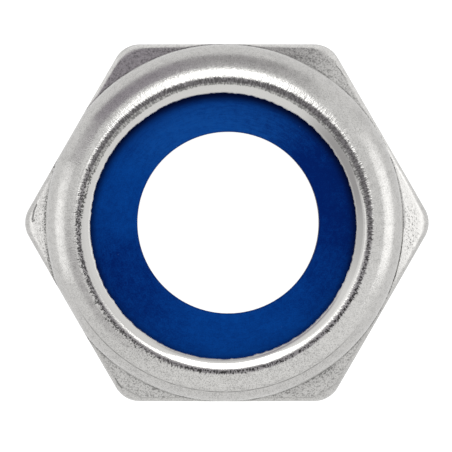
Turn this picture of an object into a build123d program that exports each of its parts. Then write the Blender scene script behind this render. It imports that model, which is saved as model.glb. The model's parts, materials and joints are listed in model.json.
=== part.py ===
"""
M8 hexagon lock nut with a nylon ring, low form, wrench size 13 mm. All sizes are in millimetres.

The origin is the centre of the bearing face and +Z is the axis of the thread, towards the ring. +X runs
through a corner of the hexagon. The steel body is one cold-formed piece: a hexagon with a sloping shoulder,
and above it a round collar whose rim is crimped inwards over the ring. The thread stands here as its minor
diameter, with a countersink at each end.
"""

import os
from math import cos, radians, sin, sqrt, tan

from build123d import *

# Heights, from the bearing face up
thread_height = 5.6  # bearing face to the ledge that the ring lies on
ring_thickness = 1.8
rim_thickness = 0.45  # the rim's inner end, over the ring
collar_height = 2.1  # shoulder to the crest of the rim

# Hexagon
wrench_size = 13.0  # across the flats
corner_rounding = 0.98  # radius of the six upright edges
bearing_setback = 0.4  # from the flats in to the circle that the nut seats on
bearing_slope = 30.0  # degrees that the corners rise from the bearing face
shoulder_slope = 30.0  # degrees that the shoulder falls away from the collar
shoulder_edge_roll = 0.3  # rounding where the flats and corners meet the shoulder
bearing_edge_roll = 0.15  # the same on the bearing side

# Collar and its crimped rim
collar_setback = 0.02  # from the flats in to the collar
collar_wall = 0.95
rim_outer_radius = 1.2  # curve of the rim from the collar up to the crest
rim_inner_radius = 0.77  # curve of the rim from the crest in to its opening
rim_inner_sweep = 35.0  # degrees that this curve turns through
rim_edge_rounding = 0.09  # inner edge of the rim

# Thread
thread_diameter = 8.0
thread_pitch = 1.25
countersink_angle = 120.0  # included angle of both countersinks
bearing_countersink_excess = 0.6  # how much wider than the thread it is at the bearing face
ring_countersink_excess = 0.1  # the same under the ring

# Nylon ring
ring_bore_undersize = 0.05  # below the thread's minor diameter, so that the screw has to cut its way in
ring_bore_chamfer = 0.1
ring_crimp_chamfer = 0.5  # outer top edge of the ring, pressed down by the rim

# Worked out from the sizes above
flat_radius = wrench_size / 2
corner_radius = flat_radius / cos(radians(30))
bearing_radius = flat_radius - bearing_setback
collar_radius = flat_radius - collar_setback
crest_radius = collar_radius - rim_outer_radius
opening_radius = crest_radius - rim_inner_radius * sin(radians(rim_inner_sweep))
opening_drop = rim_inner_radius * (1 - cos(radians(rim_inner_sweep)))
ring_radius = collar_radius - collar_wall
ring_top_height = thread_height + ring_thickness
nut_height = ring_top_height + rim_thickness + opening_drop
shoulder_height = nut_height - collar_height
thread_minor_radius = (thread_diameter - 5 / 8 * sqrt(3) * thread_pitch) / 2
ring_bore_radius = thread_minor_radius - ring_bore_undersize / 2


def outer_top_corner(section):
    """The corner of a half section that lies furthest from the axis and highest."""
    return section.vertices().group_by(Axis.X)[-1].sort_by(Axis.Y)[-1]


# ---------------------------------------------------------------- steel body
with BuildPart() as nut_body:
    # Hexagon with rounded upright edges, drawn up to where the cone of the shoulder meets the crest's circle.
    cone_top_height = shoulder_height + (collar_radius - crest_radius) * tan(radians(shoulder_slope))
    with BuildSketch():
        RegularPolygon(radius=flat_radius, side_count=6, major_radius=False)
        fillet(vertices(), radius=corner_rounding)
    extrude(amount=cone_top_height)

    # The round envelope trims its corners: rising from the bearing face below, falling from the collar above.
    bearing_rise = (corner_radius - bearing_radius) * tan(radians(bearing_slope))
    shoulder_fall = (corner_radius - collar_radius) * tan(radians(shoulder_slope))
    with BuildSketch(Plane.YZ):
        with BuildLine():
            Polyline(
                (0, 0),
                (bearing_radius, 0),
                (corner_radius, bearing_rise),
                (corner_radius, shoulder_height - shoulder_fall),
                (crest_radius, cone_top_height),
                (0, cone_top_height),
                close=True,
            )
        make_face()
    revolve(axis=Axis.Z, mode=Mode.INTERSECT)

    # Forging and tumbling roll the edges where the flats and corners meet the two sloping faces.
    for side, edge_roll in ((0, bearing_edge_roll), (-1, shoulder_edge_roll)):
        sloping_face = faces().filter_by(GeomType.CONE).sort_by(Axis.Z)[side]
        fillet(sloping_face.edges().filter_by(GeomType.BSPLINE), radius=edge_roll)

    # Collar, rooted inside the hexagon, with the rim curved over the ring.
    collar_root_height = shoulder_height - 2 * shoulder_edge_roll
    with BuildSketch(Plane.YZ) as collar_section:
        with BuildLine():
            outer_curve = CenterArc(
                (crest_radius, nut_height - rim_outer_radius), rim_outer_radius, 0, 90
            )
            inner_curve = CenterArc(
                (crest_radius, nut_height - rim_inner_radius), rim_inner_radius, 90, rim_inner_sweep
            )
            Polyline(
                inner_curve @ 1,
                (opening_radius, collar_root_height),
                (collar_radius, collar_root_height),
                outer_curve @ 0,
            )
        make_face()
        rim_edge = collar_section.vertices().sort_by_distance(inner_curve @ 1)[0]
        fillet(rim_edge, radius=rim_edge_rounding)
    revolve(axis=Axis.Z)

    # Groove for the ring, with the underside of the rim bent down over the ring's outer edge.
    with BuildSketch(Plane.YZ) as groove_section:
        with Locations((0, thread_height)):
            Rectangle(ring_radius, ring_thickness, align=(Align.MIN, Align.MIN))
        chamfer(outer_top_corner(groove_section), length=ring_crimp_chamfer)
    revolve(axis=Axis.Z, mode=Mode.SUBTRACT)

    # Threaded hole with a countersink at the bearing face and one at the ledge under the ring.
    with Locations(Plane.XY.rotated((180, 0, 0))):
        CounterSinkHole(
            radius=thread_minor_radius,
            counter_sink_radius=(thread_diameter + bearing_countersink_excess) / 2,
            counter_sink_angle=countersink_angle,
        )
    with Locations((0, 0, thread_height)):
        CounterSinkHole(
            radius=thread_minor_radius,
            counter_sink_radius=(thread_diameter + ring_countersink_excess) / 2,
            counter_sink_angle=countersink_angle,
        )

nut_body.part.label = "nut_body"


# ---------------------------------------------------------------- nylon ring
with BuildPart() as nylon_insert:
    with BuildSketch(Plane.YZ) as ring_section:
        with Locations((ring_bore_radius, thread_height)):
            Rectangle(ring_radius - ring_bore_radius, ring_thickness, align=(Align.MIN, Align.MIN))
        chamfer(outer_top_corner(ring_section), length=ring_crimp_chamfer)
        bore_corners = ring_section.vertices().group_by(Axis.X)[0]
        chamfer(bore_corners, length=ring_bore_chamfer)
    revolve(axis=Axis.Z)

nylon_insert.part.label = "nylon_insert"


os.makedirs("parts", exist_ok=True)
export_step(nut_body.part, "parts/nut_body.step")
export_step(nylon_insert.part, "parts/nylon_insert.step")
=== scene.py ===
"""
Dressed model of the M8 nylon insert lock nut: the cold-formed steel body with its crimped collar, rolled
edges and cut thread, the blue nylon ring, and the small white studio that they stand in.

It is laid out as a Blender add-on and run as a script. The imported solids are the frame: the origin is the
centre of the bearing face, +Z is the axis of the thread towards the ring, and +X runs through a corner of
the hexagon. Lengths are in metres, and MM turns a size in millimetres into metres.
"""
import json
from math import asin, atan2, cos, hypot, pi, radians, sin, sqrt, tan
from random import Random

import bmesh
import bpy
from bpy.props import FloatProperty, FloatVectorProperty, IntProperty, PointerProperty
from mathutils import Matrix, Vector


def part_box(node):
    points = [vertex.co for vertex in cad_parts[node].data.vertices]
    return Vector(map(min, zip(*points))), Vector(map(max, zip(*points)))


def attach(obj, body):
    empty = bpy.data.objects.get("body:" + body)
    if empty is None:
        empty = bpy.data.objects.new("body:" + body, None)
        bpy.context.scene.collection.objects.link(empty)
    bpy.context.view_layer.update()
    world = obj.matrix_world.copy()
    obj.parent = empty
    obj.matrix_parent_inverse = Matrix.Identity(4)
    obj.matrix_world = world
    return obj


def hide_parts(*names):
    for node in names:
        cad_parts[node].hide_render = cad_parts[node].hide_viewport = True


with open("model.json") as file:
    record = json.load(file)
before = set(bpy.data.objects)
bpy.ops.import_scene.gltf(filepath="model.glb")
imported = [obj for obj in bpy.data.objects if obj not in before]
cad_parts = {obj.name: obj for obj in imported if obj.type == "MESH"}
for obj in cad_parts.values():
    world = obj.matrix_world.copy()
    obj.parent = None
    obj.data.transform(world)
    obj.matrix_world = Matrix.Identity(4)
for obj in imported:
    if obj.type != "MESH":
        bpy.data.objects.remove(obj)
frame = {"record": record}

bl_info = {
    "name": "Nylon insert lock nut",
    "version": (1, 0, 0),
    "blender": (4, 5, 0),
    "location": "3D View > Sidebar > Lock nut",
    "description": "Builds a dressed M8 lock nut and its studio around the packed solids",
    "category": "Add Mesh",
}

MM = 0.001

# The frame's own sizes
BODY_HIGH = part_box("nut_body")[1]
RING_LOW, RING_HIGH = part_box("nylon_insert")
MOUNT_RADIUS = {
    mount["name"]: mount["dims"]["r_mm"] * MM for mount in frame["record"]["mounts"] if mount["dims"]
}
NUT_HEIGHT = BODY_HIGH.z
CORNER_RADIUS = BODY_HIGH.x
FLAT_RADIUS = BODY_HIGH.y
RING_RADIUS = RING_HIGH.x
RING_SEAT = RING_LOW.z
RING_TOP = RING_HIGH.z
THREAD_MINOR_RADIUS = MOUNT_RADIUS["thread"]
RING_BORE_RADIUS = MOUNT_RADIUS["ring_bore"]

HEXAGON_SIDES = 6
SECTOR = 2 * pi / HEXAGON_SIDES


def length(name, description, default):
    """A length that a user can change, given in millimetres."""
    return FloatProperty(
        name=name, description=description, default=default * MM, unit="LENGTH", subtype="DISTANCE",
        precision=6,
    )


def angle(name, description, default):
    """An angle that a user can change, given in degrees."""
    return FloatProperty(
        name=name, description=description, default=radians(default), unit="ROTATION", subtype="ANGLE",
    )


def share(name, description, default):
    """A plain number from 0 to 1."""
    return FloatProperty(name=name, description=description, default=default, min=0, max=1, subtype="FACTOR")


def offset(name, description, across, along):
    """A sideways distance that a user can change, given in millimetres along X and Y."""
    return FloatVectorProperty(
        name=name, description=description, default=(across * MM, along * MM), size=2, unit="LENGTH",
        subtype="TRANSLATION", precision=6,
    )


def colour(name, description, default):
    """A colour that a user can change, in linear light."""
    return FloatVectorProperty(
        name=name, description=description, default=default, size=3, min=0, max=1, subtype="COLOR",
    )


class SteelBodySizes(bpy.types.PropertyGroup):
    """Sizes of the steel body that the frame doesn't give."""
    columns: IntProperty(name="Columns", description="Vertical rows of faces round the body", default=720)
    bearing_setback: length("Bearing setback", "Bearing circle inside the hexagon's flats", 0.4)
    cone_slope: angle("Cone slope", "Slope of the cones that take off the hexagon's corners", 30)
    side_roll: length("Edge roll on the sides", "Radius of the shoulder's edge along a flat", 0.3)
    corner_roll: length("Edge roll on the corners", "Radius of the shoulder's edge round a corner", 0.6)
    bearing_roll: length("Bearing edge roll", "Radius of the edge round the bearing cone", 0.15)
    collar_setback: length("Collar setback", "Collar wall inside the hexagon's flats", 0.02)
    collar_height: length("Collar height", "From the shoulder to the crest of the rim", 2.1)
    rim_outer_radius: length("Rim outer radius", "Round outside of the crimped rim", 1.2)
    rim_inner_radius: length("Rim inner radius", "Round inside of the crimped rim", 0.9)
    rim_inner_sweep: angle("Rim inner sweep", "How far the rim turns in past its crest", 30.4)
    lip_rounding: length("Lip rounding", "Rounding of the rim's inner edge", 0.06)
    groove_chamfer: length("Groove chamfer", "Bevel at the top of the ring's groove", 0.5)
    contact_width: length("Contact groove width", "Width of the groove round the foot of the collar", 0.05)
    contact_depth: length("Contact groove depth", "Depth of the groove round the foot of the collar", 0.04)
    collar_shift: offset("Collar shift", "Shift of the collar off the hexagon's centre", -0.094, -0.004)
    crest_shift: offset("Crest shift", "Shift of the rim's crest off the hexagon's centre", -0.083, -0.112)
    lip_shift: offset("Lip shift", "Shift of the crimped lip off the hexagon's centre", -0.138, -0.116)
    lip_waviness: length("Lip waviness", "How far the crimped lip wanders in and out", 0.012)
    lip_raggedness: length("Lip raggedness", "Small torn steps along the crimped lip", 0.02)
    crest_raggedness: length("Crest raggedness", "Small steps along the rim's crest", 0.018)


class ThreadSizes(bpy.types.PropertyGroup):
    """Sizes of the M8 x 1.25 thread and its countersinks."""
    columns: IntProperty(name="Columns", description="Faces in one turn of the thread", default=240)
    diameter: length("Diameter", "Major diameter of the thread", 8)
    pitch: length("Pitch", "Rise of one turn", 1.25)
    bearing_mouth: length("Bearing mouth", "Radius of the countersink in the bearing face", 4.3)
    ring_mouth: length("Ring mouth", "Radius of the countersink under the ring", 4.05)
    countersink_angle: angle("Countersink angle", "Full angle of both countersinks", 120)
    crest_wear: length("Crest wear", "How far the thread's crests are worn back", 0.03)


class NylonRingSizes(bpy.types.PropertyGroup):
    """Sizes of the nylon ring that the frame doesn't give."""
    columns: IntProperty(name="Columns", description="Rows of faces round the ring", default=480)
    bore_chamfer: length("Bore chamfer", "Broken edge at each end of the bore", 0.1)
    crimp_chamfer: length("Crimp chamfer", "Bevel under the crimped rim", 0.5)
    bore_shift: offset("Bore shift", "How far the bore stands off the centre", 0.046, 0.003)
    face_waviness: length("Face waviness", "How far the top face rises and falls", 0.012)


class SteelFinish(bpy.types.PropertyGroup):
    """Finish of the steel body."""
    tint: colour("Tint", "Colour of the bare steel", (0.61, 0.602, 0.586))
    lip_roughness: share("Lip roughness", "Roughness of the burnished lip", 0.1)
    crest_roughness: share("Crest roughness", "Roughness of the rim's crest", 0.1)
    collar_roughness: share("Collar roughness", "Roughness of the tumbled collar", 0.26)
    throat_roughness: share("Throat roughness", "Roughness under the lip's edge", 0.5)
    shoulder_roughness: share("Shoulder roughness", "Roughness of the forged shoulders", 0.22)
    burnish_depth: length("Burnish depth", "Depth of the fine lines across the rim's crest", 0.007)
    grain_depth: length("Grain depth", "Depth of the tumbled grain", 0.0035)
    forging_depth: length("Forging depth", "Depth of the mottling on the shoulders", 0.005)
    fleck_depth: length("Fleck depth", "Depth of the torn flecks on the rim's crest", 0.004)
    band_depth: length("Band depth", "Depth of the coarse lines outside the rim's crest", 0.006)
    mark_depth: length("Mark depth", "Depth of the scratches and dents", 0.02)


class NylonFinish(bpy.types.PropertyGroup):
    """Finish of the nylon ring."""
    # Bright blue is the ring's lightest tone, and shade blue its darkest tone and the painted shade towards
    # the rim
    bright_blue: colour("Bright blue", "Colour of clean nylon", (0.0013, 0.051, 0.272))
    shade_blue: colour("Shade blue", "Colour of the ring's darker side", (0.0002, 0.0133, 0.12))
    # The colour of the painted shade beside the rim's lip
    lip_shade_blue: colour("Deep blue", "Colour of the nylon beside the rim", (0.0002, 0.003, 0.03))
    # The colour of the painted sheen at the top of the ring
    sheen_blue: colour("Bloom blue", "Colour of the pale bloom at the top", (0.0055, 0.069, 0.300))
    speck_blue: colour("Speck blue", "Colour of the fine pale specks", (0.05, 0.12, 0.35))
    roughness: share("Roughness", "Roughness of the moulded face", 0.3)
    grain_depth: length("Grain depth", "Depth of the moulded grain", 0.002)


class StudioSizes(bpy.types.PropertyGroup):
    """Camera, floor and lights."""
    lens: FloatProperty(name="Lens", description="Focal length of the camera in millimetres", default=1500)
    view_width: length("View width", "Width of the view at the shoulder's height", 16.455)
    view_height: length("View plane", "Height of the plane that the width is measured in", 5.5)
    aim: offset("Aim", "Point of the floor under the camera", -0.033, -0.120)
    floor_radius: length("Floor radius", "Radius of the white floor", 3000)
    light_distance: length("Light distance", "Distance of the softboxes from the nut", 400)


SIZES = {
    "nut_body_sizes": SteelBodySizes,
    "nut_thread_sizes": ThreadSizes,
    "nut_ring_sizes": NylonRingSizes,
    "nut_steel_finish": SteelFinish,
    "nut_nylon_finish": NylonFinish,
    "nut_studio": StudioSizes,
}


# ---------------- sections

# Least step from the hexagon's wall to the collar
COLLAR_CLEARANCE = 0.01 * MM
# Where the groove round the foot of the collar is deepest, how far round it fades, and its least share
GROOVE_SIDE = radians(-18)
GROOVE_REACH = radians(40)
LEAST_GROOVE = 0.05
# Largest share of the shoulder that an edge roll takes
ROLL_LIMIT = 0.9
# How far the crest's raggedness reaches outwards and inwards, on its two arcs
CREST_REACH_OUT = sin(radians(14))
CREST_REACH_IN = sin(radians(5))
LIP_EDGE_STEPS = 6
CREST_SEED = 3
LIP_SEED = 8
# Waves of the crimped lip and of the nylon's face as count in a turn, start and share of their height
LIP_WAVES = ((3, 0.7, 0.5), (7, 2.1, 0.3), (16, 0.4, 0.35), (31, 1.3, 0.25))
RING_WAVES = ((2, 0.5, 0.3), (5, 1.9, 0.2))
# Nicks of the crimped lip as azimuth and half width in degrees, and depth
LIP_NICKS = ((48, 0.8, 0.03 * MM), (7, 1.2, 0.04 * MM), (221, 1.0, 0.03 * MM), (97, 0.8, 0.03 * MM))
# Where the outer skin's bearing face and ledge stop, and the thread's tube goes on
SHELL_BEARING_START = 4.7 * MM
SHELL_LEDGE_END = 4.5 * MM
# The thread's flat crest and its root, and where its tube starts, in pitches, and the bow of its root
THREAD_CREST = 1 / 4
THREAD_ROOT = 1 / 8
THREAD_START = -1.3
THREAD_ROOT_BOW = 0.035 * MM
THREAD_TURNS = 6
# Vertices closer than this are one
WELD = 0.0005 * MM
SHARP_ANGLE = radians(35)


def straight(start, end, steps):
    """Points from start up to, but not including, end."""
    return [
        (start[0] + (end[0] - start[0]) * step / steps, start[1] + (end[1] - start[1]) * step / steps)
        for step in range(steps)
    ]


def chain(start, *legs):
    """Points along straight legs, each given as its steps and its end, up to but not including the last
    end."""
    points = []
    for steps, end in legs:
        points += straight(start, end, steps)
        start = end
    return points


def on_circle(centre, radius, turn):
    """The point of a circle at an angle."""
    return centre[0] + radius * cos(turn), centre[1] + radius * sin(turn)


def arc(centre, radius, start, end, steps):
    """Points round a centre from one angle up to, but not including, another."""
    return [on_circle(centre, radius, start + (end - start) * step / steps) for step in range(steps)]


def waves(azimuth, rows):
    """A few waves round the axis added up, each given as its count in a turn, its start and its height."""
    return sum(height * sin(count * azimuth + start) for count, start, height in rows)


def hexagon_radius(azimuth):
    """Distance from the axis to the hexagon's wall, with its rounded corners."""
    rounding = (FLAT_RADIUS / cos(SECTOR / 2) - CORNER_RADIUS) / (1 / cos(SECTOR / 2) - 1)
    corner_centre = CORNER_RADIUS - rounding
    from_corner = abs((azimuth + SECTOR / 2) % SECTOR - SECTOR / 2)
    tangent = atan2(rounding * sin(SECTOR / 2), corner_centre + rounding * cos(SECTOR / 2))
    if from_corner > tangent:
        return FLAT_RADIUS / cos(SECTOR / 2 - from_corner)
    return corner_centre * cos(from_corner) + sqrt(rounding ** 2 - (corner_centre * sin(from_corner)) ** 2)


def off_centre(radius, shift, azimuth):
    """Distance from the axis, at an azimuth, to a circle that stands off the axis."""
    along = shift[0] * cos(azimuth) + shift[1] * sin(azimuth)
    across = shift[1] * cos(azimuth) - shift[0] * sin(azimuth)
    return along + sqrt(radius ** 2 - across ** 2)


def turned_from(azimuth, place):
    """How far an azimuth lies from another one, either way round."""
    return abs((azimuth - place + pi) % (2 * pi) - pi)


def rim_section(sizes, azimuth, collar, crest_step, lip_step):
    """The rest of the steel body's half section: the crimped rim from the top of the collar's wall to its
    lip, and the ring's groove down to the ledge."""
    crest_radius = FLAT_RADIUS - sizes.collar_setback - sizes.rim_outer_radius
    lip_radius = crest_radius - sizes.rim_inner_radius * sin(sizes.rim_inner_sweep)
    crest = off_centre(crest_radius, sizes.crest_shift, azimuth)
    lip = off_centre(lip_radius, sizes.lip_shift, azimuth)
    rounding = sizes.lip_rounding
    inner_rise = sizes.rim_inner_radius
    reach = inner_rise - rounding
    nominal_reach = crest_radius - lip_radius - rounding
    lip_turn = pi / 2 + asin(nominal_reach / reach)
    lip_centre = (lip + rounding, NUT_HEIGHT - inner_rise + reach * sin(lip_turn))
    inward_stretch = (crest - lip - rounding) / nominal_reach

    points = []
    for turn, end, steps, rise, width, ragged_reach in (
        (0, pi / 2, 28, sizes.rim_outer_radius, collar - crest, CREST_REACH_OUT),
        (pi / 2, lip_turn, 12, inner_rise, inner_rise, CREST_REACH_IN),
    ):
        stretch = inward_stretch if turn else 1
        for across, up in arc((0, 0), 1, turn, end, steps):
            ragged = crest_step * max(0, 1 - (across / ragged_reach) ** 2)
            points.append((crest + width * across * stretch + ragged, NUT_HEIGHT - rise * (1 - up)))
    edge = arc(lip_centre, rounding, lip_turn, pi, LIP_EDGE_STEPS)
    for step, (radius, height) in enumerate(edge):
        points.append((radius + lip_step * step / LIP_EDGE_STEPS, height))
    groove = RING_RADIUS - sizes.groove_chamfer
    groove_top = RING_TOP - sizes.groove_chamfer
    points += chain(
        (lip + lip_step, lip_centre[1]), (3, (lip + lip_step / 2, RING_TOP)), (1, (groove, RING_TOP)),
        (1, (RING_RADIUS, groove_top)), (2, (RING_RADIUS, RING_SEAT)), (2, (SHELL_LEDGE_END, RING_SEAT)),
    )
    return points + [(SHELL_LEDGE_END, RING_SEAT)]


def body_section(sizes, azimuth, crest_step=0, lip_step=0):
    """Half section of the steel body at an azimuth, from the bearing face to the ledge under the ring, with
    as many points at every azimuth. The steps move the crest and the lip in or out."""
    slope = sizes.cone_slope
    shoulder = NUT_HEIGHT - sizes.collar_height
    collar_radius = FLAT_RADIUS - sizes.collar_setback
    wall = hexagon_radius(azimuth)
    bearing = FLAT_RADIUS - sizes.bearing_setback
    collar = min(off_centre(collar_radius, sizes.collar_shift, azimuth), wall - COLLAR_CLEARANCE)

    def cone(radius):
        """Height of the shoulder's cone."""
        return shoulder - (radius - collar_radius) * tan(slope)

    ledge = wall - collar
    cornering = (wall - FLAT_RADIUS) / (CORNER_RADIUS - FLAT_RADIUS)
    roll = sizes.side_roll + (sizes.corner_roll - sizes.side_roll) * cornering ** 2
    roll = min(roll, ROLL_LIMIT * ledge / (1 - sin(slope)))
    open_side = max(LEAST_GROOVE, 1 - (turned_from(azimuth, GROOVE_SIDE) / GROOVE_REACH) ** 2)
    groove_end = collar + min(sizes.contact_width, (ledge - roll * (1 - sin(slope))) / 2)
    groove_foot = cone(collar) - min(sizes.contact_depth * open_side, groove_end - collar)
    low_roll = sizes.bearing_roll
    low_centre = (wall - low_roll, (wall - bearing) * tan(slope) + low_roll * tan(pi / 4 - slope / 2))
    low_start = slope - pi / 2
    high_centre = (wall - roll, cone(wall) - roll * tan(pi / 4 - slope / 2))
    high_end = pi / 2 - slope
    return (
        chain((SHELL_BEARING_START, 0), (2, (bearing, 0)), (3, on_circle(low_centre, low_roll, low_start)))
        + arc(low_centre, low_roll, low_start, 0, 4)
        + straight(on_circle(low_centre, low_roll, 0), on_circle(high_centre, roll, 0), 6)
        + arc(high_centre, roll, 0, high_end, 10)
        + chain(
            on_circle(high_centre, roll, high_end), (8, (groove_end, cone(groove_end))),
            (2, (collar, groove_foot)), (4, (collar, NUT_HEIGHT - sizes.rim_outer_radius)),
        )
        + rim_section(sizes, azimuth, collar, crest_step, lip_step)
    )


# ---------------- mesh work

def spun_shell(points, columns, closed):
    """A mesh made by spinning a section about the axis: one sixth of a turn, copied five times. Each vertex
    keeps its place in the section in the layer "station"."""
    shell = bmesh.new()
    station = shell.verts.layers.int.new("station")
    row = [shell.verts.new((point[0], 0, point[1])) for point in points]
    for place, vertex in enumerate(row):
        vertex[station] = place
    pairs = list(zip(row, row[1:]))
    if closed:
        pairs.append((row[-1], row[0]))
    edges = [shell.edges.new(pair) for pair in pairs]
    spin_about_axis(shell, row + edges, SECTOR, columns // HEXAGON_SIDES)
    wedge = shell.verts[:] + shell.edges[:] + shell.faces[:]
    copies = HEXAGON_SIDES - 1
    spin_about_axis(shell, wedge, SECTOR * copies, copies, use_duplicate=True)
    bmesh.ops.remove_doubles(shell, verts=shell.verts, dist=WELD)
    return shell, station


def spin_about_axis(mesh, geometry, turn, steps, rise=0, use_duplicate=False):
    """Spins part of a mesh about the axis, rising a little at each step."""
    bmesh.ops.spin(
        mesh, geom=geometry, cent=(0, 0, 0), axis=(0, 0, 1), dvec=(0, 0, rise), angle=turn, steps=steps,
        use_merge=False, use_normal_flip=False, use_duplicate=use_duplicate,
    )


def open_loop(shell, height, tolerance=1e-6):
    """The open edges of a mesh that lie at a height."""
    return [
        edge for edge in shell.edges
        if edge.is_boundary and all(abs(vertex.co.z - height) < tolerance for vertex in edge.verts)
    ]


def thread_tube(sizes):
    """The threaded bore from the bearing face to the ledge: one pitch of the section, spun along the helix
    and copied up the bore."""
    tube = bmesh.new()
    minor = THREAD_MINOR_RADIUS + sizes.crest_wear
    major = sizes.diameter / 2
    pitch = sizes.pitch
    crest = pitch * THREAD_CREST
    root = pitch * THREAD_ROOT
    flank = (pitch - crest - root) / 2
    start = THREAD_START * pitch
    root_start = start + crest + flank
    bowed_root = [
        (major + THREAD_ROOT_BOW * sin(pi * share_done), root_start + root * share_done)
        for share_done in (0, 0.25, 0.5, 0.75)
    ]
    section = (
        chain((minor, start), (3, (minor, start + crest)), (6, (major, root_start)))
        + bowed_root
        + straight((major, start + pitch - flank), (minor, start + pitch), 6)
        + [(minor, start + pitch)]
    )
    row = [tube.verts.new((radius, 0, height)) for radius, height in section]
    edges = [tube.edges.new(pair) for pair in zip(row, row[1:])]
    spin_about_axis(tube, row + edges, 2 * pi, sizes.columns, rise=pitch / sizes.columns)
    one_turn = tube.verts[:] + tube.edges[:] + tube.faces[:]
    for turn in range(1, THREAD_TURNS):
        copy = bmesh.ops.duplicate(tube, geom=one_turn)["geom"]
        raised = [part for part in copy if isinstance(part, bmesh.types.BMVert)]
        bmesh.ops.translate(tube, verts=raised, vec=(0, 0, turn * pitch))
    bmesh.ops.remove_doubles(tube, verts=tube.verts, dist=WELD)
    cut_ends(tube, sizes)
    return tube


def cut_ends(tube, sizes):
    """Opens the thread's tube out to the countersink at each end, and cuts it off flat."""
    spread = tan(sizes.countersink_angle / 2)
    for vertex in tube.verts:
        radius = hypot(vertex.co.x, vertex.co.y)
        from_bearing = sizes.bearing_mouth - vertex.co.z * spread
        from_ring = sizes.ring_mouth - (RING_SEAT - vertex.co.z) * spread
        scale = max(radius, from_bearing, from_ring) / radius
        vertex.co.x *= scale
        vertex.co.y *= scale
    for height, normal in ((0, (0, 0, -1)), (RING_SEAT, (0, 0, 1))):
        bmesh.ops.bisect_plane(
            tube, geom=tube.verts[:] + tube.edges[:] + tube.faces[:], dist=1e-8, plane_co=(0, 0, height),
            plane_no=normal, use_snap_center=False, clear_outer=True, clear_inner=False,
        )
    bmesh.ops.remove_doubles(tube, verts=tube.verts, dist=WELD)


def linked_object(name, shell):
    """An object at the origin whose mesh is a finished bmesh."""
    mesh = bpy.data.meshes.new(name)
    shell.to_mesh(mesh)
    shell.free()
    piece = bpy.data.objects.new(name, mesh)
    bpy.context.scene.collection.objects.link(piece)
    return piece


def finished_piece(name, shell):
    """A piece with outward faces, smooth but for its real edges."""
    bmesh.ops.recalc_face_normals(shell, faces=shell.faces)
    piece = linked_object(name, shell)
    piece.data.shade_smooth()
    piece.data.set_sharp_from_angle(angle=SHARP_ANGLE)
    return piece


def lip_wander(azimuth, reach):
    """Slow waves of the crimped lip, a few to the turn, and its nicks."""
    wander = reach * waves(azimuth, LIP_WAVES)
    for place, width, depth in LIP_NICKS:
        wander += depth * max(0, 1 - turned_from(azimuth, radians(place)) / radians(width))
    return wander


def ragged_steps(columns, seed):
    """Seeded steps round the rim, one for each column, each softened over its two neighbours."""
    dice = Random(seed)
    raw = [dice.uniform(-1, 1) for column in range(columns)]
    return [
        sum(raw[(column + step) % columns] for step in (-1, 0, 1)) / sqrt(3) for column in range(columns)
    ]


def steel_body_mesh(sizes, thread_sizes):
    """The steel body in one closed skin."""
    columns = sizes.columns
    shell, station = spun_shell(body_section(sizes, 0), columns, closed=False)
    crest_steps = ragged_steps(columns, CREST_SEED)
    lip_steps = ragged_steps(columns, LIP_SEED)
    sections = []
    for column in range(columns):
        azimuth = 2 * pi * column / columns
        crest_step = sizes.crest_raggedness * crest_steps[column]
        lip_step = sizes.lip_raggedness * lip_steps[column] + lip_wander(azimuth, sizes.lip_waviness)
        sections.append(body_section(sizes, azimuth, crest_step, lip_step))
    for vertex in shell.verts:
        azimuth = atan2(vertex.co.y, vertex.co.x)
        column = round(azimuth / (2 * pi) * columns) % columns
        radius, height = sections[column][vertex[station]]
        vertex.co = (radius * cos(azimuth), radius * sin(azimuth), height)
    shell.verts.layers.int.remove(station)
    tube = thread_tube(thread_sizes)
    joined = bpy.data.meshes.new("thread")
    tube.to_mesh(joined)
    tube.free()
    shell.from_mesh(joined)
    bpy.data.meshes.remove(joined)
    for height in (0, RING_SEAT):
        bmesh.ops.triangle_fill(
            shell, edges=open_loop(shell, height), use_beauty=True, use_dissolve=False, normal=(0, 0, 1)
        )
    return finished_piece("nut_body_skin", shell)


def ring_section(sizes):
    """Half section of the nylon ring: bore, top face, crimp bevel, outside and underside."""
    chamfer = sizes.bore_chamfer
    bevel = sizes.crimp_chamfer
    bore = RING_BORE_RADIUS
    return (
        straight((bore, RING_SEAT + chamfer), (bore, RING_TOP - chamfer), 6)
        + arc((bore + chamfer, RING_TOP - chamfer), chamfer, pi, pi / 2, 6)
        + chain(
            (bore + chamfer, RING_TOP), (30, (RING_RADIUS - bevel, RING_TOP)),
            (2, (RING_RADIUS, RING_TOP - bevel)), (4, (RING_RADIUS, RING_SEAT)),
            (6, (bore + chamfer, RING_SEAT)),
        )
        + arc((bore + chamfer, RING_SEAT + chamfer), chamfer, 3 * pi / 2, pi, 3)
    )


def nylon_ring_mesh(sizes):
    """The nylon ring, with its bore a little off centre and its top face slightly uneven."""
    shell, station = spun_shell(ring_section(sizes), sizes.columns, closed=True)
    shell.verts.layers.int.remove(station)
    for vertex in shell.verts:
        radius = hypot(vertex.co.x, vertex.co.y)
        azimuth = atan2(vertex.co.y, vertex.co.x)
        inward = max(0, (RING_RADIUS - radius) / (RING_RADIUS - RING_BORE_RADIUS))
        vertex.co.x += sizes.bore_shift[0] * inward
        vertex.co.y += sizes.bore_shift[1] * inward
        if vertex.co.z > RING_TOP - sizes.bore_chamfer and radius < RING_RADIUS - sizes.crimp_chamfer:
            dip = 0.5 + waves(azimuth, RING_WAVES)
            vertex.co.z -= sizes.face_waviness * dip * sin(pi * inward) ** 2
    return finished_piece("nylon_insert_skin", shell)


# ---------------- node helpers

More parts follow.
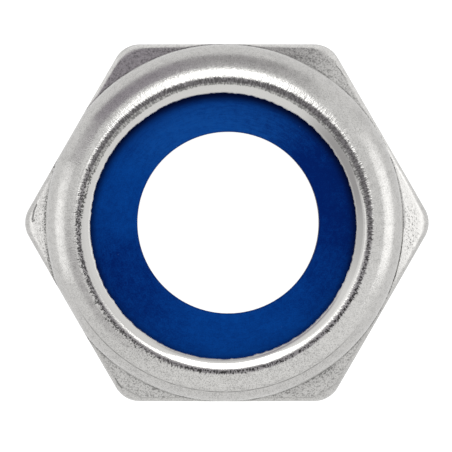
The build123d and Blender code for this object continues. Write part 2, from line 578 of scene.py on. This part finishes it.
class Wire:
    """An output of a node. Sums, products and eased values of wires and plain numbers make their own
    nodes."""

    def __init__(self, tree, socket):
        self.tree = tree
        self.socket = socket

    def __add__(self, other):
        return maths("ADD", self, other)

    def __sub__(self, other):
        return maths("SUBTRACT", self, other)

    def __rsub__(self, other):
        return maths("SUBTRACT", other, self)

    def __mul__(self, other):
        return maths("MULTIPLY", self, other)

    def __truediv__(self, other):
        return maths("DIVIDE", self, other)

    def __rtruediv__(self, other):
        return maths("DIVIDE", other, self)

    def __abs__(self):
        return maths("ABSOLUTE", self)

    def ease(self, start, end, low=0, high=1):
        """Turns the value smoothly from low at start to high at end."""
        given = (self, start, end, low, high)
        return wired(self.tree, 0, "ShaderNodeMapRange", given, interpolation_type="SMOOTHSTEP")


def feed(tree, socket, value):
    """Links a socket to a wire, or sets it to a number, a vector or a colour."""
    if isinstance(value, Wire):
        tree.links.new(value.socket, socket)
    elif socket.type == "RGBA":
        socket.default_value = (*value[:3], 1)
    else:
        socket.default_value = value


def add(tree, kind, given=(), **settings):
    """A node of a kind with its settings, and its inputs fed by place or by name."""
    node = tree.nodes.new(kind)
    for name, value in settings.items():
        setattr(node, name, value)
    for place, value in given.items() if isinstance(given, dict) else enumerate(given):
        feed(tree, node.inputs[place], value)
    return node


def wired(tree, output, kind, given=(), **settings):
    """One output of a new node."""
    return Wire(tree, add(tree, kind, given, **settings).outputs[output])


def maths(operation, *values, kind="ShaderNodeMath", **settings):
    """The result of a Math node whose inputs are wires or plain numbers."""
    tree = next(value.tree for value in values if isinstance(value, Wire))
    output = "Value" if operation in ("DOT_PRODUCT", "LENGTH") else 0
    return wired(tree, output, kind, values, operation=operation, **settings)


def vector_maths(operation, *values):
    """The result of a Vector Math node."""
    return maths(operation, *values, kind="ShaderNodeVectorMath")


def greatest(*values):
    """The greatest of several values at each point."""
    result = values[0]
    for value in values[1:]:
        result = maths("MAXIMUM", result, value)
    return result


def blend(amount, first, second, kind="FLOAT"):
    """A blend of two numbers."""
    given = {"Factor": amount, "A": first, "B": second}
    return wired(amount.tree, "Result", "ShaderNodeMix", given, data_type=kind)


def mix(amount, first, second):
    """A blend of two colours."""
    return blend(amount, first, second, "RGBA")


def split(position, axis):
    """One coordinate of a position."""
    return wired(position.tree, axis, "ShaderNodeSeparateXYZ", (position,))


def noise(position, scale, detail, roughness=0.5):
    """Soft noise from 0 to 1."""
    given = {"Vector": position, "Scale": scale, "Detail": detail, "Roughness": roughness}
    return wired(position.tree, "Fac", "ShaderNodeTexNoise", given, noise_dimensions="3D")


def bump(height, depth, under=None):
    """A normal from a height map of a depth, on top of another normal."""
    given = {"Strength": 1, "Distance": depth, "Height": height}
    if under is not None:
        given["Normal"] = under
    return wired(height.tree, "Normal", "ShaderNodeBump", given)


def heading(azimuth, polar=90):
    """The direction at an azimuth from +X and a polar angle from +Z, both in degrees."""
    turn = radians(azimuth)
    lean = radians(polar)
    return Vector((sin(lean) * cos(turn), sin(lean) * sin(turn), cos(lean)))


# ---------------- shared effects

# Takes the height out of a position
LEVEL = (1, 1, 0)
# Azimuths of three of the hexagon's flats; the other three lie opposite
FLATS = (30, 90, 150)
GRAIN_ROUGHNESS = 0.6
CONE_FADE = 0.05


def from_axis(position):
    """Distance from the axis."""
    return vector_maths("LENGTH", vector_maths("MULTIPLY", position, LEVEL))


def radial_zone(position, inner, outer, fade):
    """A mask that is 1 between two radii about the axis and fades out over a width on each side."""
    radius = from_axis(position)
    return radius.ease(inner - fade, inner + fade) * radius.ease(outer - fade, outer + fade, 1, 0)


def burnish_lines(position, lines, length):
    """Fine lines that run straight out from the axis, as a height. Lines counts them in one radian, and
    Length is how far one runs, in millimetres."""
    radius = from_axis(position)
    around = [split(position, axis) / radius * lines for axis in (0, 1)]
    wrapped = wired(position.tree, 0, "ShaderNodeCombineXYZ", (*around, radius / length))
    return noise(wrapped, 1, 1.5)


def grain(position, size, patch):
    """Uneven grain as a height and, slower, as a mottling mask. Size is one grain in millimetres."""
    return noise(position, 1 / size, 3, GRAIN_ROUGHNESS), noise(position, 1 / patch, 4, GRAIN_ROUGHNESS)


def pits(position, spacing, share, width):
    """Scattered round pits. Spacing is in millimetres, and Share is how many of the places hold a pit."""
    tree = position.tree
    given = {"Vector": position, "Scale": 1 / spacing}
    cells = add(tree, "ShaderNodeTexVoronoi", given, voronoi_dimensions="3D", feature="F1")
    picked = add(tree, "ShaderNodeSeparateColor", (Wire(tree, cells.outputs["Color"]),))
    chosen = maths("LESS_THAN", Wire(tree, picked.outputs[0]), share)
    size = width * (Wire(tree, picked.outputs[1]) + 0.4)
    return Wire(tree, cells.outputs["Distance"]).ease(0, size, 1, 0) * chosen


def rolled_edge(position, flat, corner, width):
    """A mask that is 1 on the hexagon's rolled edges: within a width of its flats and twice that of its
    corners, all in millimetres."""
    across = greatest(*[abs(vector_maths("DOT_PRODUCT", position, heading(side))) for side in FLATS])
    sides = ((flat - across) / width).ease(1.25, 0.8)
    corners = ((corner - from_axis(position)) / width).ease(2.5, 1.6)
    return greatest(sides, corners)


def above_cone(position, apex, slope):
    """A mask that is 1 above a cone about the axis. Apex is its height on the axis, and Slope is how far it
    falls for each millimetre outwards."""
    return (from_axis(position) * slope + split(position, 2) - apex).ease(-CONE_FADE, CONE_FADE)


def scratch(position, start, run, width):
    """A mask along a straight scratch that starts at a point, all in millimetres."""
    level = vector_maths("MULTIPLY", vector_maths("SUBTRACT", position, start), LEVEL)
    reached = vector_maths("DOT_PRODUCT", level, run)
    along = maths("DIVIDE", reached, vector_maths("DOT_PRODUCT", run, run), use_clamp=True)
    nearest = vector_maths("MULTIPLY", run, along)
    return vector_maths("LENGTH", vector_maths("SUBTRACT", level, nearest)).ease(0, width, 1, 0)


def compass(position, towards):
    """How far a point faces an azimuth: 1 towards it, -1 away from it. Towards holds its X and Y."""
    level = vector_maths("NORMALIZE", vector_maths("MULTIPLY", position, LEVEL))
    return vector_maths("DOT_PRODUCT", level, towards)


# Each effect's maker, its inputs after Position with their defaults, and its outputs
EFFECTS = {
    "radial_zone": (radial_zone, {"Inner": 0, "Outer": 1, "Fade": 0.1}, ("Mask",)),
    "burnish_lines": (burnish_lines, {"Lines": 100, "Length": 0.3}, ("Height",)),
    "grain": (grain, {"Size": 0.1, "Patch": 1}, ("Height", "Mottle")),
    "pits": (pits, {"Spacing": 0.3, "Share": 0.3, "Width": 0.2}, ("Mask",)),
    "rolled_edge": (rolled_edge, {"Flat": 6.5, "Corner": 7.35, "Width": 0.13}, ("Mask",)),
    "above_cone": (above_cone, {"Apex": 9.5, "Slope": 0.577}, ("Mask",)),
    "scratch": (scratch, {"Start": (0, 0, 0), "Run": (1, 0, 0), "Width": 0.05}, ("Mask",)),
    "compass": (compass, {"Towards": (1, 0, 0)}, ("Facing",)),
}


def new_group(name):
    """An effect's node group, with named sockets."""
    maker, inputs, outputs = EFFECTS[name]
    group = bpy.data.node_groups.new(name, "ShaderNodeTree")
    inputs = {"Position": (0, 0, 0), **inputs}
    for socket, default in inputs.items():
        kind = "NodeSocketVector" if isinstance(default, tuple) else "NodeSocketFloat"
        group.interface.new_socket(socket, in_out="INPUT", socket_type=kind).default_value = default
    for socket in outputs:
        group.interface.new_socket(socket, in_out="OUTPUT", socket_type="NodeSocketFloat")
    given = add(group, "NodeGroupInput").outputs
    made = maker(*[Wire(group, given[socket]) for socket in inputs])
    add(group, "NodeGroupOutput", made if isinstance(made, tuple) else (made,))
    return group


def effect(name, position, **values):
    """A shared effect placed in a material, its group built on its first use: a wire for each output."""
    group = bpy.data.node_groups.get(name) or new_group(name)
    given = {"Position": position, **{socket.capitalize(): value for socket, value in values.items()}}
    node = add(position.tree, "ShaderNodeGroup", given, node_tree=group)
    wires = [Wire(position.tree, socket) for socket in node.outputs]
    return wires if len(wires) > 1 else wires[0]


def facing(position, azimuth):
    """How far a point of a material faces an azimuth in degrees, from -1 to 1."""
    return effect("compass", position, towards=heading(azimuth))


def moved(position, shift):
    """A position measured from a point that stands off the axis by a shift in metres."""
    given = {"Vector": position, "Location": (-shift[0] / MM, -shift[1] / MM, 0)}
    return wired(position.tree, "Vector", "ShaderNodeMapping", given)


def new_material(name):
    """A node material, its tree and its Principled shader."""
    material = bpy.data.materials.new(name)
    material.use_nodes = True
    return material, material.node_tree, material.node_tree.nodes["Principled BSDF"]


def object_position(tree):
    """Object coordinates in millimetres."""
    given = {"Vector": wired(tree, "Object", "ShaderNodeTexCoord"), "Scale": (1 / MM, 1 / MM, 1 / MM)}
    return wired(tree, "Vector", "ShaderNodeMapping", given)


# ---------------- steel

# Marks on the steel in millimetres: where each starts in X and Y, how far it runs in X and Y, and its width
MARKS = (
    (-6.93, 0.66, -0.11, -0.27, 0.045),
    (-7.03, 0.40, -0.05, -0.28, 0.045),
    (-7.06, 0.06, 0.05, 0.03, 0.05),
    (3.98, 5.75, 0.18, -0.24, 0.035),
    (4.16, 5.51, 0.16, -0.24, 0.03),
    (-4.06, -5.66, 0.10, -0.20, 0.045),
    (-3.97, -5.85, 0.15, -0.17, 0.05),
    (-2.70, -6.05, 0.25, 0.04, 0.07),
)

# Smudges on the shoulders, laid out in the same way
SMUDGES = (
    (2.45, 6.05, 0.70, -0.12, 0.25),
    (2.90, 5.85, 0.40, -0.35, 0.15),
    (-4.45, -4.85, 1.90, -1.05, 0.25),
    (2.20, -6.10, 1.60, 0.75, 0.40),
    (-2.30, 6.22, 0.80, 0.12, 0.20),
)

# Patches of close pits beside the collar, laid out in the same way
PITTED = (
    (6.60, 0.30, 0.15, -1.20, 0.60),
    (-6.58, 1.10, 0.00, -2.00, 0.25),
)

# Zones of the top side: the circle they follow, inner and outer radius, and fade, in millimetres
STEEL_ZONES = {
    "throat": ("lip", -1, 4.88, 0.02),
    "lip": ("crest", -1, 5.10, 0.05),
    "flecked": ("crest", 5.1, 5.4, 0.05),
    "burnished": ("crest", -1, 5.36, 0.06),
    "toothed": ("crest", 5.33, 5.5, 0.04),
    "inner rim": ("crest", -1, 5.75, 0.15),
    "lined": ("crest", 5.4, 5.85, 0.08),
    "rim": ("collar", -1, 6.1, 0.15),
    "outer rim": ("collar", 5.4, 6.1, 0.1),
    "creased": ("collar", 6.125, 6.155, 0.02),
    "shaded_and_grimy": ("collar", 6.4, 6.62, 0.2),
    "beside the collar": ("collar", 6.4, 6.7, 0.15),
    "shoulder": ("collar", 6.50, 9, 0.03),
}

# Inner radius of the crest's dark band, torn flecks and a painted reflection of the gap overhead, behind and
# in front, its outer radius, and the radii of the painted shade line round the foot of the collar, in
# millimetres
DARK_BAND_INNER_BEHIND = 5.13
DARK_BAND_INNER_FRONT = 5.25
DARK_BAND_OUTER = 5.37
FOOT_INNER = 6.47
FOOT_OUTER = 6.53
# How far under the shoulder's cone the top side begins, and how far over it the collar does, in
# millimetres
TOP_MARGIN = 0.15
WALL_MARGIN = 0.08
# Width of the rolled edges along the flats, in millimetres
EDGE_WIDTH = 0.13
ROUGHNESS_DRIFT = 0.04
# How dark the marks are, and what the darkest stains, painted shade and painted reflection leave of the
# steel's tint
MARK_DARKNESS = 0.75
DIRT_AND_SHADE_LEVEL = 0.15


class TumbledSteel:
    """Cold-formed stainless steel: a burnished lip, a dark band of torn flecks and painted reflection and
    fine lines across the crest, tumbled grain on the collar, mottled shoulders with pits, painted shade and
    staining beside the collar and painted shade round its foot, and painted light and shade on the rim, the
    lip and the rolled edges."""

    def __init__(self, finish, body):
        self.finish = finish
        self.material, tree, shader = new_material("tumbled_steel")
        self.position = object_position(tree)
        self.centres = {
            name: moved(self.position, getattr(body, name + "_shift")) for name in ("lip", "crest", "collar")
        }
        slope = tan(body.cone_slope)
        apex = (NUT_HEIGHT - body.collar_height + (FLAT_RADIUS - body.collar_setback) * slope) / MM
        self.top = self.effect("above_cone", apex=apex - TOP_MARGIN, slope=slope)
        self.low = self.top - self.effect("above_cone", apex=apex + WALL_MARGIN, slope=slope)
        self.edge = self.effect(
            "rolled_edge", flat=FLAT_RADIUS / MM, corner=CORNER_RADIUS / MM, width=EDGE_WIDTH
        )
        self.lip = self.zone("lip")
        self.tumbled = 1 - self.zone("burnished")
        self.shoulder = self.zone("shoulder")
        self.facet = self.shoulder * (1 - self.edge)

        self.lines = self.effect("burnish_lines", lines=170, length=0.25)
        self.teeth = self.effect("burnish_lines", lines=85, length=0.5)
        self.flecks = self.effect("burnish_lines", lines=100, length=0.11)
        self.fine, self.fine_mottle = self.effect("grain", size=0.05, patch=0.5)
        self.medium, self.medium_mottle = self.effect("grain", size=0.2, patch=1.5)
        self.coarse, self.coarse_mottle = self.effect("grain", size=0.08, patch=0.6)
        self.grit = (self.coarse + self.fine) * 0.5
        self.pits = self.effect("pits", spacing=0.066, share=0.8, width=0.62)
        self.marks = self.drawn(MARKS) * self.low

        self.front = self.facing(265)
        self.left = self.facing(200).ease(0.5, 0.9)
        self.right = self.facing(-5).ease(0.6, 0.9)
        self.left_corner = self.facing(180).ease(0.9, 0.98)
        self.right_corner = self.facing(0).ease(0.9, 0.98)

        feed(tree, shader.inputs["Normal"], self.relief())
        feed(tree, shader.inputs["Roughness"], self.roughness())
        feed(tree, shader.inputs["Base Color"], self.colour())
        shader.inputs["Metallic"].default_value = 1

    def effect(self, name, **values):
        """A shared effect on the steel."""
        return effect(name, self.position, **values)

    def facing(self, azimuth):
        """How far a point faces an azimuth."""
        return facing(self.position, azimuth)

    def ring(self, circle, inner, outer, fade):
        """A ring of the top side."""
        return effect("radial_zone", self.centres[circle], inner=inner, outer=outer, fade=fade) * self.top

    def zone(self, name):
        """A zone of the top side, by name."""
        return self.ring(*STEEL_ZONES[name])

    def drawn(self, strokes):
        """Scratches or smudges, all in one mask."""
        return greatest(*[
            self.effect("scratch", start=(x, y, 0), run=(run_x, run_y, 0), width=width)
            for x, y, run_x, run_y, width in strokes
        ])

    def torn_band_and_reflection(self):
        """Dark torn flecks and a painted dark reflection of the gap overhead along the rim's crest: lines
        that run outwards, but speckles on the left.
        """
        notch = self.teeth * 0.4 - 0.2
        wide_right = self.facing(40).ease(0.75, 0.95, 0, 0.05)
        wide_left = self.facing(148).ease(0.75, 0.95, 0, 0.05)
        outward = self.facing(233).ease(0.85, 0.97, 0, 0.035)
        start = notch * 0.3 + self.front.ease(-0.5, 0.5, DARK_BAND_INNER_BEHIND, DARK_BAND_INNER_FRONT)
        start = start - (wide_right + wide_left) + outward
        end = notch + (self.left * 0.05 + DARK_BAND_OUTER) + (wide_right + outward)
        combed = self.flecks.ease(0.42, 0.54, self.front.ease(-0.5, 0.5, 0.45, 0.1), 1)
        combed = combed * self.front.ease(-0.5, 0.5, 0.75, 1)
        speckled = self.grit.ease(0.54, 0.47, 0, 0.95)
        return self.ring("crest", start, end, 0.015) * blend(self.left, combed, speckled)

    def relief(self):
        """The small relief of every zone, one on top of another, as a normal."""
        finish = self.finish
        torn = blend(self.left, self.flecks, self.grit) * (greatest(self.left, self.right) * 0.8 + 0.5)
        normal = None
        for height, depth in (
            (self.fine * self.tumbled, finish.grain_depth),
            (torn * self.zone("flecked"), finish.fleck_depth),
            (self.teeth * self.zone("toothed"), finish.band_depth),
            (self.lines * self.zone("lined"), finish.burnish_depth),
            (self.coarse * self.facet, finish.forging_depth),
            (1 - self.marks, finish.mark_depth),
        ):
            normal = bump(height, depth, normal)
        return normal

    def roughness(self):
        """Roughness of the collar, and of the zones on top of it."""
        finish = self.finish
        plain = finish.collar_roughness
        rough = self.fine_mottle.ease(0.25, 0.75, plain - ROUGHNESS_DRIFT, plain + ROUGHNESS_DRIFT)
        for place, level in (
            (self.zone("inner rim"), finish.crest_roughness),
            (self.lip, finish.lip_roughness),
            (self.zone("throat"), finish.throat_roughness),
            (self.facet, finish.shoulder_roughness),
        ):
            rough = blend(place, rough, level)
        return rough

    def collar_dirt(self):
        """Dark specks and slow blotches in the tumbled grain, stronger in front."""
        specks = self.fine.ease(0.54, 0.36, 0, self.front.ease(0.5, 0.9) * 0.16 + 0.2)
        blotches = self.medium.ease(0.6, 0.3, 0, 0.13) + self.medium_mottle.ease(0.5, 0.3, 0, 0.08)
        return (specks + blotches) * self.tumbled

    def shoulder_dirt_and_shade(self):
        """Mottling and smudges of the forged shoulders, and painted shade and staining beside the collar in
        front. All three are weaker at the corners at the left and the right."""
        forging = self.grit.ease(0.53, 0.41, 0, 0.48) + self.medium.ease(0.56, 0.35, 0, 0.16)
        smudges = self.drawn(SMUDGES) * self.grit.ease(0.55, 0.42, 0.15, 0.85)
        # Painted shade and staining beside the collar in front, broken up by the grit
        shade_and_grime = self.zone("shaded_and_grimy") * self.grit.ease(0.54, 0.43, 0.1, 0.95) * self.front.ease(0.45, 0.8)
        weaker_corners = self.left_corner * -0.5 + (self.right_corner * -0.85 + 1)
        return greatest(forging, smudges, shade_and_grime) * weaker_corners

    def pit_dirt(self):
        """Dark pits: close ones beside the collar, and scattered ones on the rim in front."""
        beside = self.zone("beside the collar").ease(0, 1, 0.6, 1)
        clustered = self.coarse_mottle.ease(0.38, 0.52) * beside * (self.right_corner * -0.6 + 1)
        clustered = greatest(clustered, self.drawn(PITTED))
        corners = (self.left_corner + self.right_corner) * 0.8 + 0.2
        scattered = self.medium_mottle.ease(0.5, 0.62) * self.facing(290).ease(0.55, 0.9, 0, 0.55)
        return self.pits * greatest(self.facet * clustered * corners, self.zone("outer rim") * scattered)

    def dark_lines(self):
        """Dark lines: painted shade in the groove round the foot of the collar, a dark line along the
        shoulders' front edges, and painted shade in a faint crease round the front of the collar."""
        # Painted shade in the groove round the foot of the collar, broken up by the grain
        foot = self.ring("collar", FOOT_INNER, self.left_corner * 0.05 + FOOT_OUTER, 0.03) * self.low
        broken = self.coarse_mottle.ease(0.35, 0.6, 0.3, 0.95) * self.fine.ease(0.44, 0.52, 0.15, 1)
        brink = self.edge * (1 - self.edge) * self.front.ease(0.2, 0.6, 0, 1.8)
        brink = brink * self.shoulder * self.medium.ease(0.35, 0.55)
        # Painted shade in a faint crease round the front of the collar
        crease = self.zone("creased") * self.front.ease(0.45, 0.75, 0, 0.8)
        return greatest(foot * broken, brink, crease * self.medium.ease(0.35, 0.6, 0.55, 1))

    def colour(self):
        """The bare steel's colour, lighter or darker by zone with painted light and shade, under all the
        stains, pits, marks, painted shade and painted reflection.
        """
        dirt_and_shade = blend(self.facet, self.collar_dirt(), self.shoulder_dirt_and_shade())
        dirt_and_shade = greatest(dirt_and_shade, self.pit_dirt(), self.dark_lines(), self.torn_band_and_reflection())
        dirt_and_shade = maths("MAXIMUM", dirt_and_shade, self.marks * MARK_DARKNESS, use_clamp=True)
        tint = Vector(self.finish.tint)
        bare = tint
        # Painted light on the front of the rim, the lip's brighter tint, painted shade on the lip's right
        # side, painted highlight on the rolled edges behind, and the stains, marks, painted shade and
        # painted reflection
        for place, brightness in (
            (self.facing(295).ease(0.2, 0.95) * self.zone("rim"), 1.13),
            (self.lip, 1.07),
            (self.facing(15).ease(0.7, 0.95) * self.lip, 0.74),
            (self.edge * self.shoulder * self.front.ease(0, -0.6), 1.25),
            (dirt_and_shade, DIRT_AND_SHADE_LEVEL),
        ):
            bare = mix(place, bare, tint * brightness)
        return bare


# ---------------- nylon

# Radii and fades, in millimetres, of the painted shade that darkens the ring towards the rim and of the face
# clear of the painted shade beside the lip, and how far that shade stands off the lip towards -Y
OUTER_FACE = {"inner": 4.3, "outer": 9, "fade": 0.42}
CLEAR_FACE = {"inner": -1, "outer": 4.72, "fade": 0.2}
SHADOW_DROP = 0.12 * MM
SPECK_STRENGTH = 0.4
NYLON_SPECULAR = 0.015


def moulded_nylon(finish, lip_shift):
    """Blue nylon with slow tonal drift round the ring, soft mottling, faint turned rings, a painted sheen at
    the top, painted shade towards the rim at the top and deepest beside the lip, and fine pale specks."""
    material, tree, shader = new_material("moulded_nylon")
    position = object_position(tree)
    grain_height, grain_mottle = effect("grain", position, size=0.12, patch=0.9)
    grit, grit_mottle = effect("grain", position, size=0.05, patch=0.2)
    rings = effect("burnish_lines", position, lines=9, length=0.06)
    specks = effect("pits", position, spacing=0.22, share=0.05, width=0.14)

    def side(azimuth, start, end, low, high):
        """A value that grows towards one side of the ring."""
        return facing(position, azimuth).ease(start, end, low, high)

    across = facing(position, 18)
    drift = grain_mottle.ease(0.25, 0.75, -0.13, 0.13)
    clouds = grit.ease(0.35, 0.65, -0.1, 0.1) + grit_mottle.ease(0.35, 0.65, -0.08, 0.08)
    # The tone follows direction round the ring: lightest at the top and the bottom, darker at the left,
    # darkest at the right
    tone = 0.72 - across * across * 0.52 - across * 0.19 + drift + rings.ease(0.3, 0.7, -0.06, 0.06)
    tone = tone + clouds * side(90, 0.3, 1, 1.2, 1.7) + side(215, 0.82, 1, 0, -0.16)
    tone = maths("ADD", tone, side(168, 0.85, 1, 0, 0.2), use_clamp=True)
    # Painted sheen towards the top of the ring, broken up by the turned rings and the grain
    sheen = side(98, 0.5, 1, 0, 0.48) * rings.ease(0.35, 0.65, 0.75, 1.25)
    sheen = sheen * grain_height.ease(0.35, 0.65, 0.8, 1.2)
    # Painted shade of the rim over the ring's top side
    rim_shadow = effect("radial_zone", position, **OUTER_FACE) * side(95, 0.3, 0.9, 0, 0.5)
    shadow = moved(position, (lip_shift[0], lip_shift[1] - SHADOW_DROP))
    clear = effect("radial_zone", shadow, **CLEAR_FACE)

    blue = mix(tone, finish.shade_blue, finish.bright_blue)
    blue = mix(sheen, blue, finish.sheen_blue)
    blue = mix(rim_shadow, blue, finish.shade_blue)
    # Painted shade beside the lip, all round outside the face clear of it
    blue = mix(clear, finish.lip_shade_blue, blue)
    feed(tree, shader.inputs["Base Color"], mix(specks * SPECK_STRENGTH, blue, finish.speck_blue))
    feed(tree, shader.inputs["Roughness"], drift * 0.2 + finish.roughness)
    feed(tree, shader.inputs["Normal"], bump(grain_height, finish.grain_depth))
    shader.inputs["Specular IOR Level"].default_value = NYLON_SPECULAR
    return material


def dress(piece, material, node):
    """Gives a piece its material and ties it to the frame."""
    piece.data.materials.append(material)
    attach(piece, "root")
    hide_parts(node)


# ---------------- studio

# Softboxes as name, azimuth, polar angle, width and height in degrees, and radiance
SOFTBOXES = (
    ("top_softbox", 92, 22.5, 23, 24, 2),
    ("left_softbox", 180, 74, 34, 30, 0.65),
    ("right_softbox", 5, 74, 44, 34, 0.8),
)

# Patches of the tent as azimuth, polar angle, half width, half height and fade in degrees, and colour
TENT_FRONT = (0.94, 0.94, 0.94)
TENT_PATCHES = (
    (106, 69, 45, 20, 7, (0.49, 0.48, 0.49)),
    (125, 63, 22, 20, 6, (0.39, 0.36, 0.405)),
    (206, 34, 20, 16, 9, (0.66, 0.65, 0.66)),
    (160, 20, 40, 4, 2, (1.3, 1.3, 1.3)),
)

# The dark gap overhead as azimuth, polar angle and half width in degrees, fade as a share of the half width,
# and colour
TENT_GAP = (208, 1.5, 9, 0.15, (0.4, 0.385, 0.41))
PLAIN_WHITE = (1, 1, 1)
# The floor's own colour, and how strongly it glows in reflections and straight into the camera
FLOOR_GREY = (0.35, 0.35, 0.35)
FLOOR_ROUGHNESS = 0.8
FLOOR_SEGMENTS = 96
FLOOR_LIGHT = 0.6
FLOOR_LIGHT_SEEN = 0.95
CAMERA_CLIP = (10 * MM, 5000 * MM)


def softbox(name, azimuth, polar, width, height, radiance, distance):
    """A rectangular softbox that faces the nut. Its place and its size are angles in degrees."""
    lamp = bpy.data.lights.new(name, "AREA")
    lamp.shape = "RECTANGLE"
    lamp.size = 2 * distance * tan(radians(width / 2))
    lamp.size_y = 2 * distance * tan(radians(height / 2))
    lamp.energy = radiance * pi * lamp.size * lamp.size_y
    box = bpy.data.objects.new(name, lamp)
    away = heading(azimuth, polar)
    box.location = away * distance
    box.rotation_mode = "QUATERNION"
    box.rotation_quaternion = away.to_track_quat("Z", "Y")
    box.visible_camera = False
    bpy.context.scene.collection.objects.link(box)


def seen_directly(tree):
    """1 where the camera looks straight at the surface, and 0 in its reflections and its light."""
    return wired(tree, "Is Camera Ray", "ShaderNodeLightPath")


def light_tent():
    """A white tent: pale in front, darker behind, with a dark gap overhead where the camera looks in."""
    world = bpy.data.worlds.new("light_tent")
    world.use_nodes = True
    tree = world.node_tree
    direction = wired(tree, "Generated", "ShaderNodeTexCoord")
    height = split(direction, 2)
    polar = maths("ARCCOSINE", height)

    def towards(azimuth):
        """How far the direction points to an azimuth."""
        return vector_maths("DOT_PRODUCT", direction, heading(azimuth))

    def within(angle, half, fade):
        """1 up to a half width and 0 past it, in degrees."""
        return angle.ease(radians(half - fade), radians(half + fade), 1, 0)

    def patch(azimuth, polar_angle, half_width, half_height, fade):
        """A soft rectangle of the tent."""
        turn = abs(maths("ARCTAN2", towards(azimuth + 90), towards(azimuth)))
        lean = abs(polar - radians(polar_angle))
        return within(turn, half_width, fade) * within(lean, half_height, fade)

    def gap(azimuth, polar_angle, half, fade):
        """A soft round gap near the top of the tent."""
        centre = heading(azimuth, polar_angle)
        aside, ahead = [
            (towards(turn) - centre.dot(heading(turn))) / sin(radians(half))
            for turn in (azimuth + 90, azimuth)
        ]
        distance = maths("SQRT", aside * aside + ahead * ahead)
        return distance.ease(1 - fade, 1 + fade, 1, 0) * maths("GREATER_THAN", height, 0)

    tent = TENT_FRONT
    for *shape, shade in TENT_PATCHES:
        tent = mix(patch(*shape), tent, shade)
    *shape, shade = TENT_GAP
    tent = mix(gap(*shape), tent, shade)
    feed(tree, tree.nodes["Background"].inputs["Color"], mix(seen_directly(tree), tent, PLAIN_WHITE))
    return world


def white_floor():
    """A round white floor, lit a little past white, so that only contact shows on it."""
    disc = bmesh.new()
    radius = bpy.context.scene.nut_studio.floor_radius
    bmesh.ops.create_circle(disc, cap_ends=True, segments=FLOOR_SEGMENTS, radius=radius)
    floor = linked_object("floor", disc)
    material, tree, shader = new_material("white_floor")
    for name, value in (
        ("Base Color", FLOOR_GREY), ("Roughness", FLOOR_ROUGHNESS), ("Specular IOR Level", 0),
        ("Emission Color", PLAIN_WHITE),
        ("Emission Strength", seen_directly(tree).ease(0, 1, FLOOR_LIGHT, FLOOR_LIGHT_SEEN)),
    ):
        feed(tree, shader.inputs[name], value)
    floor.data.materials.append(material)
    return floor


# ---------------- operators

class NUT_OT_steel_body(bpy.types.Operator):
    """Build the steel body: hexagon, shoulder, crimped collar and thread."""
    bl_idname = "nut.steel_body"
    bl_label = "Steel body"

    def execute(self, context):
        scene = context.scene
        body = steel_body_mesh(scene.nut_body_sizes, scene.nut_thread_sizes)
        steel = TumbledSteel(scene.nut_steel_finish, scene.nut_body_sizes)
        dress(body, steel.material, "nut_body")
        return {"FINISHED"}


class NUT_OT_nylon_ring(bpy.types.Operator):
    """Build the blue nylon ring under the crimped rim."""
    bl_idname = "nut.nylon_ring"
    bl_label = "Nylon ring"

    def execute(self, context):
        scene = context.scene
        ring = nylon_ring_mesh(scene.nut_ring_sizes)
        nylon = moulded_nylon(scene.nut_nylon_finish, scene.nut_body_sizes.lip_shift)
        dress(ring, nylon, "nylon_insert")
        return {"FINISHED"}


class NUT_OT_studio(bpy.types.Operator):
    """Set the white floor, the light tent, the softboxes and the camera."""
    bl_idname = "nut.studio"
    bl_label = "Studio"

    def execute(self, context):
        scene = context.scene
        studio = scene.nut_studio
        white_floor()
        scene.world = light_tent()
        for name, azimuth, polar, width, height, radiance in SOFTBOXES:
            softbox(name, azimuth, polar, width, height, radiance, studio.light_distance)
        camera = bpy.data.cameras.new("camera")
        camera.lens = studio.lens
        camera.clip_start, camera.clip_end = CAMERA_CLIP
        holder = bpy.data.objects.new("camera", camera)
        distance = studio.view_width * studio.lens / camera.sensor_width
        holder.location = (studio.aim[0], studio.aim[1], studio.view_height + distance)
        scene.collection.objects.link(holder)
        scene.camera = holder
        scene.view_settings.view_transform = "Standard"
        return {"FINISHED"}


class NUT_PT_panel(bpy.types.Panel):
    """Lists the steps that build the lock nut."""
    bl_idname = "NUT_PT_panel"
    bl_label = "Lock nut"
    bl_space_type = "VIEW_3D"
    bl_region_type = "UI"
    bl_category = "Lock nut"

    def draw(self, context):
        for operator in OPERATORS:
            self.layout.operator(operator.bl_idname)
        for name, group in SIZES.items():
            sizes = getattr(context.scene, name)
            box = self.layout.box()
            for prop in group.__annotations__:
                box.prop(sizes, prop)


OPERATORS = (NUT_OT_steel_body, NUT_OT_nylon_ring, NUT_OT_studio)


def register():
    """Registers the classes and gives each scene its sizes."""
    for group in (*SIZES.values(), *OPERATORS, NUT_PT_panel):
        bpy.utils.register_class(group)
    for name, group in SIZES.items():
        setattr(bpy.types.Scene, name, PointerProperty(type=group))


def unregister():
    """Takes away what register added."""
    for name in SIZES:
        delattr(bpy.types.Scene, name)
    for group in (NUT_PT_panel, *reversed(OPERATORS), *reversed(SIZES.values())):
        bpy.utils.unregister_class(group)


def main():
    """Builds the whole model."""
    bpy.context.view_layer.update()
    register()
    bpy.ops.nut.steel_body()
    bpy.ops.nut.nylon_ring()
    bpy.ops.nut.studio()


if __name__ == "__main__":
    main()
